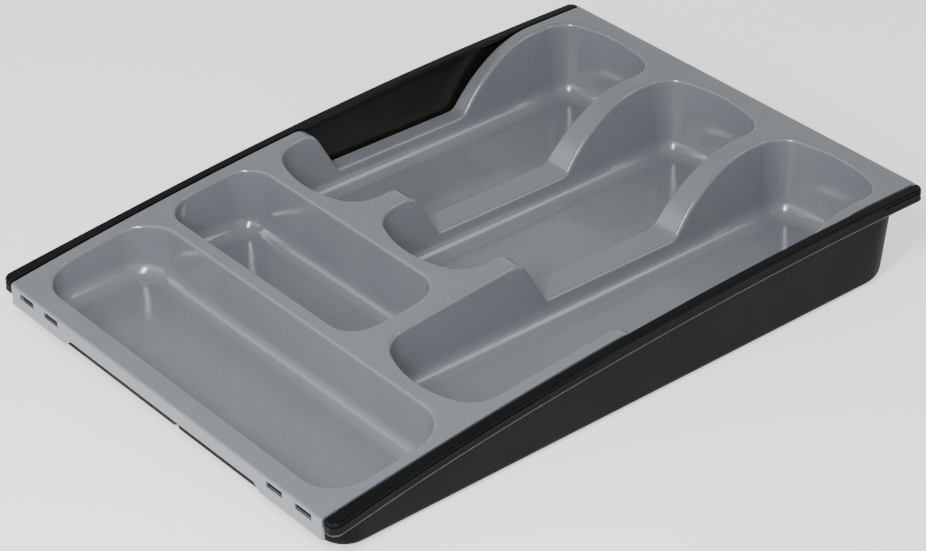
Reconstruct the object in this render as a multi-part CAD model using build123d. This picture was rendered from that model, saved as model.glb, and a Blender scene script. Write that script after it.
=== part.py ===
from build123d import *
import os
from math import hypot, radians, sqrt, tan

# An extending cutlery tray: a grey centre tray with five wells, and two black
# wings that slide out from under it to the left and to the right.
# Millimetres. X runs across (right is +X), Y from front to rear, Z up.
# The origin is on the table, under the middle of the closed tray.

# Overall size and the arched deck
tray_depth = 400.0          # front face to rear face
centre_width = 270.6        # width of the centre tray
front_height = 24.0         # deck above the table at the front edge
rear_height = 49.3          # deck above the table at the rear edge
deck_crown = 8.1            # rise of the arch over the straight line from front to rear

# Thicknesses of the centre tray
deck_thickness = 1.8
lip_thickness = 2.5
well_wall = 2.0
well_floor = 2.0

# Thicknesses of the wings
wing_wall = 1.8
wing_floor = 1.8

# Clearances
running_gap = 0.35          # between faces that slide on each other
edge_gap = 1.4              # visible groove between the deck's side edge and a wing's rail

# Wells: shared form
well_draft = 5.5            # degrees
well_floor_radius = 11.0    # between wall and floor, inside

# Places along Y of the wells' ends, as shares of the depth from the front face
front_well_shares = (0.029, 0.2115)
second_well_shares = (0.23325, 0.38125)
fork_well_shares = (0.4005, 0.96875)      # the left and middle long wells
knife_well_shares = (0.23325, 0.96875)    # the right long well

# Strips of deck between the wells and along the sides
cross_side_strip = 6.5      # from the front and second wells to the deck's side edge
long_side_strip = 7.5       # from the outer long wells to the deck's side edge
divider = 13.2              # between two long wells
second_divider = 12.6       # between the second well and the right long well

# Corners and bows of the wells' outlines
front_well_corner = 22.0
second_well_corner = 17.0
cross_well_bow = 1.8
long_front_bow = 11.2
long_rear_bow = 8.5
long_front_corner = 19.0
long_rear_corner = 17.0

# Finger dip through the side strips and the dividers. Its shares of the depth are
# where the front slope meets the ledge, where the ledge meets the rear curve, and
# where the rear curve reaches the deck.
dip_shares = (0.5245, 0.75325, 0.88125)
ledge_height = 16.3         # at the front of the ledge
ledge_fall = 0.5            # how much lower its rear end is
dip_front_slope = 63.0      # degrees
dip_rear_bulge = 5.5        # rise of the rear curve over its chord
dip_shoulder_radius = 12.6
dip_toe_radius = 2.5
dip_heel_radius = 8.0
dip_crest_share = 0.15      # radius at the top of the rear curve, as a share of the depth

# Lips at the front and rear of the centre tray
fold_radius = 1.5
front_lip_drop = 13.2       # deep ends, below the deck's edge
rear_lip_drop = 12.4
lip_middle_lift = 4.0       # the middle stretch is this much shallower
lip_end_length = 50.3       # of the deep stretch at each end of a lip
lip_step_run = 4.5

# Retaining tabs inside the lips, each under a window
tab_width = 14.2
tab_insets = (37.8, 14.8)    # from the deck's side edge to a tab's middle
tab_drop = 6.5              # top face of a tab, below the deck's edge
tab_thickness = 2.2
tab_reach = 4.0             # from the lip's inner face

# Wings
wing_side_gap = 3.0         # from the deck's side edge out to the wall's foot, before its rounding
wing_front_inset = 9.6      # front wall at the table, from the front face
wing_rear_inset = 12.9      # rear wall at the table, from the rear face
wing_draft = 5.6            # degrees
wing_bottom_radius = 5.0
wing_inner_bevel = 2.0
wing_front_corner = 15.0
wing_rear_corner = 24.0
split_gap = 3.8             # between the two wings when closed
split_offset = 3.0          # the split lies this far right of the middle

# Rail along a wing's outer edge, level with the deck
rail_width = 5.6
rail_front_flare = 2.0      # extra width at the front end
rail_flare_length = 120.0
rail_thickness = 2.2
rail_skirt = 7.2
rail_skirt_wall = 2.0
rail_corner = 5.0
rail_edge_bevel = 1.2       # along the rail's outer top edge

# Sliding flange on a wing's front and rear walls
flange_thickness = 1.8
flange_edge_wall = 1.8
flange_side_gap = 1.9       # between a lip's inner face and the flange's turned-down edge
lug_length = 3.0
lug_drop = 1.8              # a stop lug hangs this far below the tabs' top faces

overrun = 6.0               # by how much a cutting shape stands past what it cuts

front_face = -tray_depth / 2
rear_face = tray_depth / 2
half_width = centre_width / 2
well_floor_top = wing_floor + running_gap + well_floor
rail_inner = half_width + edge_gap
rail_outer = rail_inner + rail_width
right_wing_end = split_offset + split_gap / 2
left_wing_end = split_offset - split_gap / 2
lug_start = max(right_wing_end, -left_wing_end)
# A flat bevel under each well that stays a wall's thickness off its rounded inside
underside_bevel = (well_floor_radius + well_wall) * (2 - sqrt(2))
sky = rear_height + deck_crown + overrun
run_length = centre_width + tray_depth


def at_share(share):
    """Y of a place at a share of the depth from the front face."""
    return front_face + share * tray_depth


def deck_circle():
    """Centre (y, z) and radius of the arch through front edge, crown and rear edge."""
    rise = rear_height - front_height
    half_chord = hypot(tray_depth, rise) / 2
    lean = hypot(rise, tray_depth) / tray_depth
    drop = (half_chord**2 - deck_crown**2) / (2 * deck_crown / lean) / lean
    centre_y = drop * rise / tray_depth
    centre_z = (front_height + rear_height) / 2 - drop
    radius = hypot(rear_face - centre_y, rear_height - centre_z)
    return centre_y, centre_z, radius


arch_y, arch_z, arch_radius = deck_circle()


def deck_height(y):
    """Height of the deck's top face at a given Y."""
    return arch_z + sqrt(arch_radius**2 - (y - arch_y) ** 2)


def under_arch(drop):
    """Face in the YZ plane from below the table up to the arch, lowered by drop."""
    start = (front_face, front_height - drop)
    middle = (0, deck_height(0) - drop)
    end = (rear_face, rear_height - drop)
    return make_face(
        ThreePointArc(start, middle, end)
        + Line(end, (rear_face, -overrun))
        + Line((rear_face, -overrun), (front_face, -overrun))
        + Line((front_face, -overrun), start)
    )


def across(face, start_x, end_x):
    """Extrude a face that is drawn in (Y, Z) along X."""
    plane = Plane((start_x, 0, 0), x_dir=(0, 1, 0), z_dir=(1, 0, 0))
    return extrude(plane * face, amount=end_x - start_x)


def block(low, high):
    """A box between two opposite corners, given in any order."""
    size = [abs(end - start) for start, end in zip(low, high)]
    middle = [(start + end) / 2 for start, end in zip(low, high)]
    return Pos(*middle) * Box(*size)


def nearest(face, place):
    """The vertex of a face closest to a place."""
    return face.vertices().sort_by_distance(Vector(*place))[0]


def tray_profile():
    """Side view of the centre tray's top: the arch with its finger dip."""
    profile = under_arch(0)
    toe_y, heel_y, crest_y = [at_share(share) for share in dip_shares]
    toe = (toe_y, ledge_height)
    heel = (heel_y, ledge_height - ledge_fall)
    crest = (crest_y, deck_height(crest_y) + deck_thickness / 2)
    slope = tan(radians(dip_front_slope))
    shoulder_y = toe[0] - (deck_height(toe[0]) - toe[1]) / slope
    above_y = toe[0] - (sky - toe[1]) / slope
    profile -= make_face(
        Line((above_y, sky), toe)
        + Line(toe, heel)
        + SagittaArc(heel, crest, dip_rear_bulge)
        + Line(crest, (crest_y, sky))
        + Line((crest_y, sky), (above_y, sky))
    )
    rounded = [
        ((shoulder_y, deck_height(shoulder_y)), dip_shoulder_radius),
        (toe, dip_toe_radius),
        (heel, dip_heel_radius),
        ((crest_y, deck_height(crest_y)), dip_crest_share * tray_depth),
        ((front_face, front_height), fold_radius),
        ((rear_face, rear_height), fold_radius),
    ]
    for place, radius in rounded:
        profile = fillet(nearest(profile, place), radius)
    return profile


def well_side(start, end, bow):
    """One side of a well's outline: straight, or bowed outwards."""
    if bow:
        return SagittaArc(start, end, bow)
    return Line(start, end)


def well_outline(left, right, front, rear, bows, corners):
    """Plan of a well. Bows are (ends in X, front, rear); corners are (front, rear)."""
    end_bow, front_bow, rear_bow = bows
    x0, x1 = left + end_bow, right - end_bow
    y0, y1 = front + front_bow, rear - rear_bow
    outline = make_face(
        well_side((x0, y0), (x0, y1), end_bow)
        + well_side((x0, y1), (x1, y1), rear_bow)
        + well_side((x1, y1), (x1, y0), end_bow)
        + well_side((x1, y0), (x0, y0), front_bow)
    )
    for y, radius in ((y0, corners[0]), (y1, corners[1])):
        for x in (x0, x1):
            outline = fillet(nearest(outline, (x, y)), radius)
    return outline


def well_plans():
    """Rim outlines of the five wells, each with the deck's height over its middle."""
    long_width = (centre_width - 2 * long_side_strip - 2 * divider) / 3
    pitch = long_width + divider
    side = half_width - cross_side_strip
    second_right = pitch - long_width / 2 - second_divider
    cross_bows = (cross_well_bow, 0, 0)
    long_bows = (0, long_front_bow, long_rear_bow)
    front_corners = (front_well_corner, front_well_corner)
    second_corners = (second_well_corner, second_well_corner)
    long_corners = (long_front_corner, long_rear_corner)
    wells = [
        (-side, side, front_well_shares, cross_bows, front_corners),
        (-side, second_right, second_well_shares, cross_bows, second_corners),
    ]
    for middle, shares in ((-pitch, fork_well_shares), (0, fork_well_shares), (pitch, knife_well_shares)):
        wells.append((middle - long_width / 2, middle + long_width / 2, shares, long_bows, long_corners))
    plans = []
    for left, right, shares, bows, corners in wells:
        front, rear = at_share(shares[0]), at_share(shares[1])
        outline = well_outline(left, right, front, rear, bows, corners)
        plans.append((outline, deck_height((front + rear) / 2)))
    return plans


def floor_edges(space):
    """The edges all round the bottom of a drafted space."""
    return space.faces().sort_by(Axis.Z)[0].edges()


def drafted_well(outline, rim_height, grow, floor_height):
    """Space of a well, wider all round by grow, with walls that lean outwards."""
    inset = (rim_height - floor_height) * tan(radians(well_draft))
    floor_plan = offset(outline, amount=grow - inset, kind=Kind.ARC)
    return extrude(Pos(0, 0, floor_height) * floor_plan, amount=sky - floor_height, taper=-well_draft)


def lip_relief(face_y, edge_height, drop):
    """Space under a lip: its middle stretch is higher, between two sloped steps."""
    low = edge_height - drop
    high = low + lip_middle_lift
    foot = half_width - lip_end_length
    head = foot - lip_step_run
    end = half_width + overrun
    outline = make_face(
        Polyline(
            (-end, -overrun),
            (end, -overrun),
            (end, low),
            (foot, low),
            (head, high),
            (-head, high),
            (-foot, low),
            (-end, low),
            close=True,
        )
    )
    plane = Plane((0, face_y, 0), x_dir=(1, 0, 0), z_dir=(0, -1, 0))
    return extrude(plane * outline, amount=lip_thickness + overrun, both=True)


def retained_lip(tray, face_y, inward, edge_height):
    """The tray with a lip's retaining tabs added and the windows over them cut."""
    tab_top = edge_height - tab_drop
    tab_back = face_y + inward * (lip_thickness + tab_reach)
    lip_front = face_y - inward * overrun
    lip_back = face_y + inward * lip_thickness
    window_top = edge_height - deck_thickness
    for inset in tab_insets:
        for middle in (inset - half_width, half_width - inset):
            left = middle - tab_width / 2
            right = middle + tab_width / 2
            tray += block((left, face_y, tab_top - tab_thickness), (right, tab_back, tab_top))
            tray -= block((left, lip_front, tab_top), (right, lip_back, window_top))
    return tray


def centre_tray():
    """The grey moulding: arched deck, lips, five wells and the dipped dividers."""
    profile = tray_profile()
    solid = across(profile, -half_width, half_width)
    inside = offset(profile, amount=-deck_thickness, kind=Kind.ARC)
    inside &= Rectangle(tray_depth - 2 * lip_thickness, 2 * sky)
    shell_bottom = well_floor_top - well_floor
    tray = solid - across(inside, -half_width - overrun, half_width + overrun)
    tray -= block(
        (-half_width - overrun, front_face - overrun, -overrun),
        (half_width + overrun, rear_face + overrun, shell_bottom),
    )
    tray -= lip_relief(front_face, front_height, front_lip_drop)
    tray -= lip_relief(rear_face, rear_height, rear_lip_drop)
    wells = well_plans()
    for outline, rim_height in wells:
        shell = drafted_well(outline, rim_height, well_wall, shell_bottom)
        tray += solid & chamfer(floor_edges(shell), underside_bevel)
    for outline, rim_height in wells:
        space = drafted_well(outline, rim_height, 0, well_floor_top)
        tray -= fillet(floor_edges(space), well_floor_radius)
    tray = retained_lip(tray, front_face, 1, front_height)
    return retained_lip(tray, rear_face, -1, rear_height)


def tub_plan(margin):
    """Plan of both wings' tubs at the table, as if they were one tub, smaller by margin."""
    front = front_face + wing_front_inset
    rear = rear_face - wing_rear_inset
    side = half_width + wing_side_gap
    plan = make_face(Polyline((-side, front), (side, front), (side, rear), (-side, rear), close=True))
    for y, radius in ((front, wing_front_corner), (rear, wing_rear_corner)):
        for x in (-side, side):
            plan = fillet(nearest(plan, (x, y)), radius)
    return offset(plan, amount=-margin, kind=Kind.ARC)


def drafted_tub(plan, floor_height):
    """Everything inside a tub's walls, which lean outwards from its floor."""
    return extrude(Pos(0, 0, floor_height) * plan, amount=sky - floor_height, taper=-wing_draft)


def rail_plan(inner_x):
    """Plan of a wing's top: flared towards the front, with rounded outer corners."""
    flare_end = (rail_outer, front_face + rail_flare_length)
    front_corner = (rail_outer + rail_front_flare, front_face)
    rear_corner = (rail_outer, rear_face)
    plan = make_face(
        TangentArc(flare_end, front_corner, tangent=(0, -1))
        + Line(front_corner, (inner_x, front_face))
        + Line((inner_x, front_face), (inner_x, rear_face))
        + Line((inner_x, rear_face), rear_corner)
        + Line(rear_corner, flare_end)
    )
    plan = fillet(nearest(plan, front_corner), rail_corner)
    return fillet(nearest(plan, rear_corner), rail_corner)


def wing_rail():
    """The rail level with the deck: a flat top with a skirt on its outside and its ends."""
    far_right = rail_outer + rail_front_flare + overrun
    column = extrude(rail_plan(rail_inner), amount=sky)
    under_top = across(under_arch(0), 0, far_right)
    under_plate = across(under_arch(rail_thickness), 0, far_right)
    under_skirt = across(under_arch(rail_skirt), 0, far_right)
    rail = column & (under_top - under_skirt)
    on_top = Vector(rail_inner + rail_width / 2, 0, deck_height(0))
    top = rail.faces().sort_by_distance(on_top)[0]
    outer_edges = top.edges().filter_by(lambda edge: edge.center().X > rail_inner + rail_edge_bevel)
    rail = chamfer(outer_edges, rail_edge_bevel)
    inside = offset(rail_plan(rail_inner - overrun), amount=-rail_skirt_wall, kind=Kind.ARC)
    return rail - (extrude(inside, amount=sky) & under_plate)


def sliding_flange(face_y, inward, edge_height, inner_end):
    """Plate, turned-down edge and stop lug that run between a lip's tabs and the deck."""
    outer_y = face_y + inward * (lip_thickness + flange_side_gap)
    edge_y = outer_y + inward * flange_edge_wall
    wall_y = face_y + inward * (wing_front_inset + wing_rear_inset)
    top = deck_height(outer_y) - deck_thickness - running_gap
    tab_top = edge_height - tab_drop
    far_x = rail_outer - rail_skirt_wall
    plate = block((inner_end, outer_y, top - flange_thickness), (far_x, wall_y, top))
    edge = block((inner_end, outer_y, tab_top + running_gap), (far_x, edge_y, top))
    lug = block((lug_start, outer_y, tab_top - lug_drop), (lug_start + lug_length, edge_y, top))
    return plate, edge + lug


def wing(inner_end):
    """A wing that slides out to the right, with its inner end at a given X."""
    # The walls lean outwards, so each plan is drawn for the height that it starts at.
    lean = tan(radians(wing_draft))
    outside = drafted_tub(tub_plan(overrun * lean), -overrun)
    outside -= block((-run_length, -run_length, -2 * overrun), (run_length, run_length, 0))
    hollow = drafted_tub(tub_plan(wing_wall - wing_floor * lean), wing_floor)
    body = fillet(floor_edges(outside), wing_bottom_radius)
    body -= chamfer(floor_edges(hollow), wing_inner_bevel)
    body &= extrude(rail_plan(inner_end), amount=sky)
    under_deck = across(under_arch(deck_thickness + running_gap), inner_end - overrun, rail_inner)
    under_rail = across(under_arch(rail_thickness / 2), rail_inner, rail_outer + overrun)
    body &= under_deck + under_rail
    body += wing_rail()
    for face_y, inward, edge_height in (
        (front_face, 1, front_height),
        (rear_face, -1, rear_height),
    ):
        plate, edge = sliding_flange(face_y, inward, edge_height, inner_end)
        body += plate - hollow
        body += edge
    return body


def left_wing():
    """The left wing: the same form turned over, and a little longer."""
    return mirror(wing(-left_wing_end), about=Plane.YZ)


def right_wing():
    """The right wing, a little shorter because the split lies right of the middle."""
    return wing(right_wing_end)


os.makedirs("parts", exist_ok=True)
for name, piece in (
    ("centre_tray", centre_tray()),
    ("left_wing", left_wing()),
    ("right_wing", right_wing()),
):
    export_step(piece, f"parts/{name}.step")
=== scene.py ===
import logging
import math
from dataclasses import dataclass
from enum import Enum

import bmesh
import bpy
import numpy as np
from mathutils import Matrix, Vector
from mathutils.geometry import delaunay_2d_cdt


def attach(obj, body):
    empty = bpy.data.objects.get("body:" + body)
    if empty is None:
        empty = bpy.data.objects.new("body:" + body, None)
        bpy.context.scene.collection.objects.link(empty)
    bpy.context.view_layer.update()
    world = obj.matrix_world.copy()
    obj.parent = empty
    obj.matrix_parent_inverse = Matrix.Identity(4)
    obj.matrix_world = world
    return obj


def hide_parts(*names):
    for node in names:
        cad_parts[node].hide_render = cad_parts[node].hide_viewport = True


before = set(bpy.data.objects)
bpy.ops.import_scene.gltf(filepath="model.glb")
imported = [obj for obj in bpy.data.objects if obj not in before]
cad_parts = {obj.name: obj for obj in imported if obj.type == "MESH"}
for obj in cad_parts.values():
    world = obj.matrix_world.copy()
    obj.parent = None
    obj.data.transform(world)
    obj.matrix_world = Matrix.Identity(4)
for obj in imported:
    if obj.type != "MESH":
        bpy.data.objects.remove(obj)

# An extending cutlery tray: a grey centre tray with five wells on two black wings.
# Lengths in this script are millimetres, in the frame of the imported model: X runs
# across, Y from front to rear, Z up from the table. Meshes are made in metres.

Array = np.ndarray
Pair = tuple[float, float]
Triple = tuple[float, float, float]
Corner = tuple[Pair, float]
Settings = dict[str | int, object]

METRES = 0.001
MERGE = 0.004       # points nearer than this are one point
TINY = 1e-9         # a step shorter than this is none
PASSES = 20         # repeats after which every search here has settled
SHARP_ANGLE = 35.0  # degrees, above which an edge is left crisp
# The fourth finish is a paler black on the skirt's bead: a painted highlight that shows as a thin light
# line.
TEXTURED, POLISHED, SATIN, BEAD_HIGHLIGHT = range(4)  # numbers of a wing's finishes

log = logging.getLogger("tray")


# Curves in a plane


@dataclass(frozen=True)
class Stroke:
    """A straight or round stretch of an outline that has the solid on its right.

    Its fields are a point on the line or the circle's centre, the heading of a
    line, and a circle's radius, negative where the solid is outside the circle.
    """

    at: Pair
    heading: Pair = (0.0, 0.0)
    turn: float = 0.0

    def away(self, point: Array) -> tuple[float, Array]:
        """Height of a point above the stroke, and the direction in which it grows.

        Args:
            point: A place in the plane.

        Returns:
            The height, above 0 outside the solid, and the unit normal there.
        """
        arm = point - np.array(self.at)
        if self.turn == 0:
            normal = np.array([-self.heading[1], self.heading[0]])
            return float(arm @ normal), normal
        side = math.copysign(1.0, self.turn)
        length = math.hypot(arm[0], arm[1])
        return side * length - self.turn, side * arm / length

    def sunk(self, depth: float) -> "Stroke":
        """The same stretch moved into the solid.

        Args:
            depth: How far it is moved.

        Returns:
            The moved stretch.
        """
        if self.turn:
            return Stroke(self.at, turn=self.turn - depth)
        x = self.at[0] + self.heading[1] * depth
        y = self.at[1] - self.heading[0] * depth
        return Stroke((x, y), self.heading)


def line(start: Pair, end: Pair) -> Stroke:
    """A straight stretch from one point to another."""
    length = math.dist(start, end)
    return Stroke(start, ((end[0] - start[0]) / length, (end[1] - start[1]) / length))


def bow(start: Pair, end: Pair, rise: float) -> Stroke:
    """A round stretch that rises over its chord, away from the solid.

    The radius is (half chord squared + rise squared) / (2 rise), and the centre
    is that far below the top of the bow.

    Args:
        start: First point.
        end: Last point.
        rise: Height over the chord, 0 for a straight stretch.

    Returns:
        The stretch.
    """
    if rise == 0:
        return line(start, end)
    half = math.dist(start, end) / 2
    radius = (half**2 + rise**2) / (2 * rise)
    along = line(start, end).heading
    middle = ((start[0] + end[0]) / 2, (start[1] + end[1]) / 2)
    drop = radius - rise
    return Stroke((middle[0] + along[1] * drop, middle[1] - along[0] * drop), turn=radius)


def meeting(first: Stroke, second: Stroke, height: float, guess: Pair) -> Array:
    """The point at one height above two strokes.

    Each Newton step solves the two normals against what is left of the heights.

    Args:
        first: One stroke.
        second: The other stroke.
        height: Height above both.
        guess: A point near the answer.

    Returns:
        The point.
    """
    point = np.array(guess, float)
    for _ in range(PASSES):
        (high_a, normal_a), (high_b, normal_b) = first.away(point), second.away(point)
        point += np.linalg.solve(np.array([normal_a, normal_b]), [height - high_a, height - high_b])
    return point


@dataclass(frozen=True)
class Outline:
    """Points along a chain of strokes with rounded corners, and their outward normals."""

    points: Array
    normals: Array


def stretch(stroke: Stroke, start: Array, end: Array, places: Array) -> tuple[Array, Array]:
    """Points and normals along a stroke, at shares of its length.

    A line's points are start + share (end - start). A circle's are its centre plus
    the radius times the cosine and sine of an angle that runs from start to end.

    Args:
        stroke: The stroke.
        start: Its first point.
        end: Its last point.
        places: The shares, from 0 to 1.

    Returns:
        The points, and the outward unit normals there.
    """
    if stroke.turn == 0:
        points = start + places[:, None] * (end - start)
        return points, np.tile([-stroke.heading[1], stroke.heading[0]], (len(places), 1))
    centre = np.array(stroke.at)
    first = math.atan2(*(start - centre)[::-1])
    last = math.atan2(*(end - centre)[::-1])
    swing = (last - first + math.pi) % (2 * math.pi) - math.pi
    angles = first + places * swing
    rays = np.stack([np.cos(angles), np.sin(angles)], 1)
    return centre + abs(stroke.turn) * rays, math.copysign(1.0, stroke.turn) * rays


def chain(
    strokes: list[Stroke], corners: list[Corner], ends: tuple[Pair, Pair] | None, places: "Spacing"
) -> Outline:
    """Joins strokes by tangent arcs, in a loop or between two ends.

    A corner's arc has its centre at minus its radius above both strokes. The
    radius is negative in a hollow corner, and 0 where two strokes just touch.

    Args:
        strokes: The stretches in order, the solid on their right.
        corners: A guess at the crossing after each stretch, and the radius there.
        ends: First and last point, or nothing for a closed loop.
        places: Tells how finely each stretch is divided.

    Returns:
        The points and normals, without a repeat of the first point in a loop.
    """
    parts = []
    start = np.array(ends[0] if ends else corners[-1][0])
    for before, after, (guess, radius) in zip(strokes, strokes[1:] + strokes[:1], corners):
        if radius == 0:
            parts.append((before, start, np.array(guess)))
        else:
            centre = meeting(before, after, -radius, guess)
            leave, reach = (centre + radius * stroke.away(centre)[1] for stroke in (before, after))
            parts.append((before, start, leave))
            parts.append((Stroke((centre[0], centre[1]), turn=radius), leave, reach))
        start = parts[-1][2]
    if ends:
        parts.append((strokes[-1], start, np.array(ends[1])))
    else:
        parts[0] = (strokes[0], start, parts[0][2])
    pairs = [stretch(*part, places.shares(*part)[:-1]) for part in parts]
    if ends:
        pairs.append((np.array([ends[1]]), pairs[-1][1][-1:]))
    points, normals = zip(*pairs)
    return Outline(np.concatenate(points), np.concatenate(normals))


@dataclass(frozen=True)
class Spacing:
    """How finely strokes are divided: by angle on arcs, by length on lines.

    Where stations are given, a line along Y has its points at those values of Y,
    apart from the ones within a margin of its ends.
    """

    angle: float = 8.0
    step: float = 6.0
    stations: Array | None = None
    margin: float = 0.4

    def shares(self, stroke: Stroke, start: Array, end: Array) -> Array:
        """Places of a stroke's points.

        Args:
            stroke: The stroke.
            start: Its first point.
            end: Its last point.

        Returns:
            Shares of its length, from 0 to 1.
        """
        length = math.dist(start, end)
        if stroke.turn:
            swing = math.degrees(2 * math.asin(min(1.0, length / 2 / abs(stroke.turn))))
            count = max(2, math.ceil(max(swing / self.angle, length / self.step)))
        elif self.stations is not None and abs(end[0] - start[0]) < MERGE < abs(end[1] - start[1]):
            shares = np.sort((self.stations - start[1]) / (end[1] - start[1]))
            margin = self.margin / length
            return np.concatenate([[0.0], shares[(shares > margin) & (shares < 1 - margin)], [1.0]])
        else:
            count = max(2, math.ceil(length / self.step))
        return np.linspace(0, 1, count + 1)


@dataclass(frozen=True)
class OpenEnds(Spacing):
    """Spacing that leaves a straight stretch along X undivided, as it bends nowhere."""

    def shares(self, stroke: Stroke, start: Array, end: Array) -> Array:
        """Places of a stroke's points: its two ends along X, and the usual ones elsewhere.

        Args:
            stroke: The stroke.
            start: Its first point.
            end: Its last point.

        Returns:
            Shares of its length, from 0 to 1.
        """
        if stroke.turn == 0 and abs(end[1] - start[1]) < MERGE:
            return np.array([0.0, 1.0])
        return super().shares(stroke, start, end)


@dataclass(frozen=True)
class Steps(Spacing):
    """Divides a stretch of the side view alike on top and underneath.

    An arc takes the number of steps that stands with the first radius above its
    own. Any other stretch is divided by length where it is long, or into a few.
    """

    by_radius: tuple[tuple[float, int], ...] = ((5.0, 7), (20.0, 14), (200.0, 22))
    long: float = 80.0
    long_step: float = 8.0
    few: int = 5

    def shares(self, stroke: Stroke, start: Array, end: Array) -> Array:
        """Places of a stroke's points, at equal distances.

        Args:
            stroke: The stroke.
            start: Its first point.
            end: Its last point.

        Returns:
            Shares of its length, from 0 to 1.
        """
        length = math.dist(start, end)
        tight = abs(stroke.turn) or math.inf
        counts = [count for radius, count in self.by_radius if tight < radius]
        counts.append(round(length / self.long_step) if length > self.long else self.few)
        return np.linspace(0, 1, counts[0] + 1)


def unit(rows: Array) -> Array:
    """The same directions with the length 1."""
    return rows / np.linalg.norm(rows, axis=1, keepdims=True)


def lift(spots: Array, height: Array | float) -> Array:
    """Points in space from places in plan and their heights."""
    return np.concatenate([spots, np.broadcast_to(height, spots.shape[:-1])[..., None]], -1)


def quarter(steps: int) -> Array:
    """Angles that divide a quarter turn into equal steps."""
    return np.linspace(0, math.pi / 2, steps + 1)


def down_wall(
    top: Array, plan: Outline, corner: float, base: float, radius: float, lean: float, steps: tuple[int, int]
) -> Array:
    """Rows of points down a leaning wall and round into a flat floor.

    The floor's arc has the radius R, touches the wall R tan((90 - lean) / 2)
    above the corner, and ends as far in on the floor.

    Args:
        top: The wall's upper edge.
        plan: The outline that the wall follows.
        corner: How far outside the outline the sharp corner would lie.
        base: Height of the floor.
        radius: Radius of the arc.
        lean: The wall's lean, in radians.
        steps: Numbers of steps on the wall and on the arc.

    Returns:
        The rows, from the upper edge to the floor.
    """
    angles = np.linspace(math.pi / 2 - lean, 0, steps[1] + 1)[:, None]
    reach = corner - radius * math.tan((math.pi / 2 - lean) / 2) + radius * np.sin(angles)
    arc = lift(plan.points + reach[..., None] * plan.normals, base + radius * (1 - np.cos(angles)))
    shares = np.linspace(0, 1, steps[0] + 1)[:-1, None, None]
    return np.concatenate([top + shares * (arc[0] - top), arc])


# Skins: meshes that grow patch by patch


def add_object(name: str, data: bpy.types.ID) -> bpy.types.Object:
    """Puts an object into the scene, at the origin.

    Args:
        name: The object's name.
        data: Its mesh, light or camera.

    Returns:
        The object.
    """
    thing = bpy.data.objects.new(name, data)
    bpy.context.scene.collection.objects.link(thing)
    return thing


class Skin:
    """Patches of points in millimetres with their faces, joined into one mesh."""

    def __init__(self) -> None:
        """Starts with no patch."""
        self.points: list[Array] = []
        self.faces: list[list[int]] = []
        self.coats: list[int] = []
        self.count = 0

    def patch(self, points: Array, faces: Array | list[list[int]], coat: int | Array = 0) -> None:
        """Adds points and the faces between them.

        Args:
            points: One row (x, y, z) for each point.
            faces: For each face the numbers of its points, counted in this patch.
            coat: Number of the finish that all faces take, or one number for each.
        """
        shifted = np.asarray(faces) + self.count
        self.faces += shifted.tolist()
        self.coats += np.broadcast_to(coat, len(shifted)).tolist()
        self.points.append(points)
        self.count += len(points)

    def grid(self, rows: Array, loop: bool, coat: int | Array = 0) -> None:
        """Adds four-sided faces between neighbouring rows of points.

        Args:
            rows: Points with the shape (rows, points in a row, 3).
            loop: True where a row's last point is next to its first.
            coat: Number of the finish, or one number for each strip between two rows.
        """
        high, wide = rows.shape[:2]
        numbers = np.arange(high * wide).reshape(high, wide)
        if loop:
            numbers = np.concatenate([numbers, numbers[:, :1]], 1)
        corners = [numbers[:-1, :-1], numbers[:-1, 1:], numbers[1:, 1:], numbers[1:, :-1]]
        coats = np.broadcast_to(np.reshape(coat, (-1, 1)), corners[0].shape).ravel()
        self.patch(rows.reshape(-1, 3), np.stack(corners, -1).reshape(-1, 4), coats)

    def lid(self, ring: Array, coat: int = 0) -> None:
        """Closes a flat ring of points with one face."""
        self.patch(ring, [list(range(len(ring)))], coat)

    def bar(self, rings: list[Array], coat: int = 0) -> None:
        """Adds the solid between two flat rings of as many points.

        Args:
            rings: The two rings.
            coat: Number of the finish.
        """
        self.grid(np.array(rings), True, coat)
        for ring in rings:
            self.lid(ring, coat)

    def prism(self, section: list[Pair], start: float, end: float, coat: int = 0) -> None:
        """Adds a bar along X with a section that is given in (y, z)."""
        ring = np.array(section)
        self.bar([np.column_stack([np.full(len(ring), x), ring]) for x in (start, end)], coat)

    def piece(self, name: str, flip: bool = False) -> bpy.types.Object:
        """Makes the object: merged, closed, with outward faces and smooth shading.

        Args:
            name: The object's name.
            flip: True to turn the whole skin over from right to left.

        Returns:
            The object, at the origin.
        """
        points = np.concatenate(self.points) * METRES * [-1 if flip else 1, 1, 1]
        mesh = bpy.data.meshes.new(name)
        mesh.from_pydata(points.tolist(), [], self.faces)
        mesh.polygons.foreach_set("material_index", self.coats)
        work = bmesh.new()
        work.from_mesh(mesh)
        bmesh.ops.remove_doubles(work, verts=work.verts, dist=MERGE * METRES)
        bmesh.ops.recalc_face_normals(work, faces=work.faces)
        work.to_mesh(mesh)
        loose = sum(1 for edge in work.edges if len(edge.link_faces) != 2)
        work.free()
        mesh.shade_smooth()
        mesh.set_sharp_from_angle(angle=math.radians(SHARP_ANGLE))
        piece = add_object(name, mesh)
        weighted = piece.modifiers.new("even_shading", "WEIGHTED_NORMAL")
        weighted.keep_sharp = True
        log.info("%s: %d faces, %d open edges", name, len(mesh.polygons), loose)
        return piece


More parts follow.
